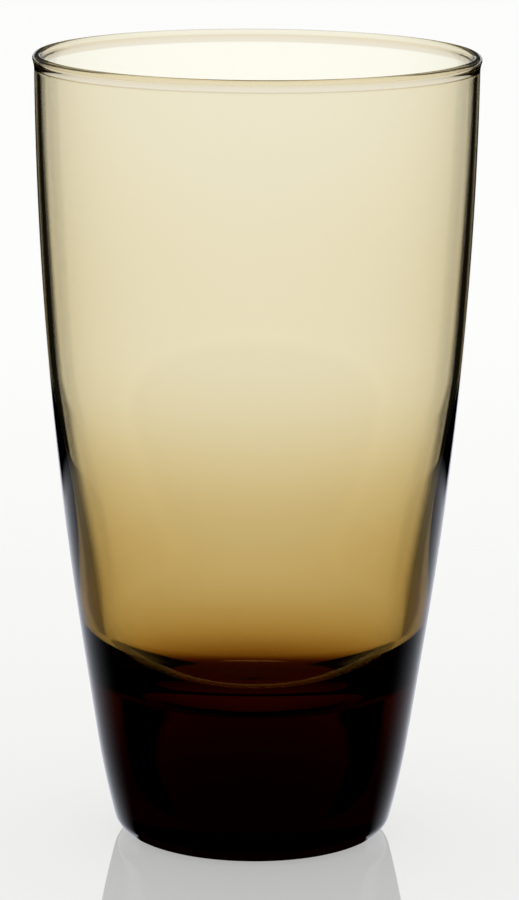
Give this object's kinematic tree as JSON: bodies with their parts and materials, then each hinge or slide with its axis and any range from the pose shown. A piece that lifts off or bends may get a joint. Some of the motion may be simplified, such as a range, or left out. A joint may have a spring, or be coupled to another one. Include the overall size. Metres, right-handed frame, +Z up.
{
  "type": "cooler glass",
  "caption": "Tall tapered drinking glass in mocha-brown glass, with a rounded rim bead, a thin wall and a thick solid base that stands on a flat ring.",
  "frame": {"origin": "centre of the foot, in the plane of the table that the glass stands on", "axes": "+Z up along the glass's axis, towards the rim; the glass is the same all round, so X and Y are free"},
  "size_m": [0.085, 0.085, 0.152],
  "materials": {
    "mocha_glass": "clear, fire-polished glass coloured mocha brown through its whole thickness: pale straw where it is thin, near black in the base"
  },
  "bodies": {
    "root": {"tumbler": "mocha_glass"}
  },
  "joints": []
}
